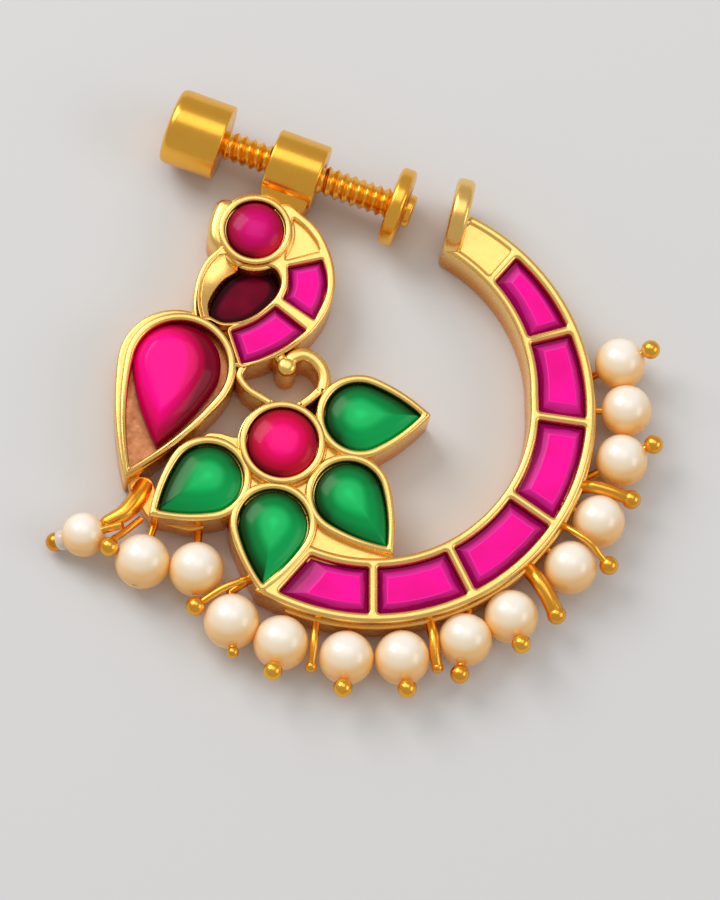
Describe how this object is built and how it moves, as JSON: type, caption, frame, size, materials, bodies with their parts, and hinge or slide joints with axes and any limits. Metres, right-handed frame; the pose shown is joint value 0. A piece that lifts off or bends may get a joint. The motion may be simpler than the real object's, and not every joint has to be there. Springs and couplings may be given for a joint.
{
  "type": "clip-on nose ring",
  "caption": "Open crescent nose ring in gold with bird and flower motif, set red and green stones, pearl fringe and a thumbscrew clamp.",
  "frame": {"origin": "middle of the underside of the piece as it lies on its back", "axes": "+Z out of the face, through the stones; +Y towards the screw; +X to the wearer's open side of the crescent"},
  "size_m": [0.0306, 0.031, 0.0041],
  "materials": {
    "gold_satin": "satin gold plate",
    "gold_polished": "polished gold plate, fine turning marks",
    "magenta_stone": "step-cut glass, foil backed",
    "ruby_stone": "polished cabochon, foil backed",
    "dark_red_stone": "polished, deep set",
    "green_stone": "polished cabochon, foil backed",
    "pearl": "pearl lustre"
  },
  "bodies": {
    "ring": {"frame": "gold_satin", "stone_band_1": "magenta_stone", "stone_band_2": "magenta_stone", "stone_band_3": "magenta_stone", "stone_band_4": "magenta_stone", "stone_band_5": "magenta_stone", "stone_band_6": "magenta_stone", "stone_neck_1": "magenta_stone", "stone_neck_2": "magenta_stone", "stone_breast": "dark_red_stone", "stone_head": "ruby_stone", "stone_heart": "ruby_stone", "stone_wing": "ruby_stone", "stone_petal_a": "green_stone", "stone_petal_b": "green_stone", "stone_petal_c": "green_stone", "stone_petal_d": "green_stone", "pearl_01": "pearl", "pearl_02": "pearl", "pearl_03": "pearl", "pearl_04": "pearl", "pearl_05": "pearl", "pearl_06": "pearl", "pearl_07": "pearl", "pearl_08": "pearl", "pearl_09": "pearl", "pearl_10": "pearl", "pearl_11": "pearl", "pearl_12": "pearl", "pearl_13": "pearl", "pearl_14": "pearl"},
    "pad": {"pad": "gold_polished"},
    "screw": {"screw": "gold_polished"}
  },
  "joints": [
    {"name": "screw_feed", "type": "slide", "parent": "ring", "child": "pad", "axis": [0.9403, -0.3404, 0], "range_m": [-0.0034, 0.0015]},
    {"name": "screw_turn", "type": "hinge", "parent": "pad", "child": "screw", "pos_m": [-0.00311, 0.01155, 0.0021], "axis": [0.9403, -0.3404, 0], "continuous": true}
  ],
  "couplings": [
    {"joint": "screw_turn", "follows": "screw_feed", "rad_per_m": 13963}
  ]
}
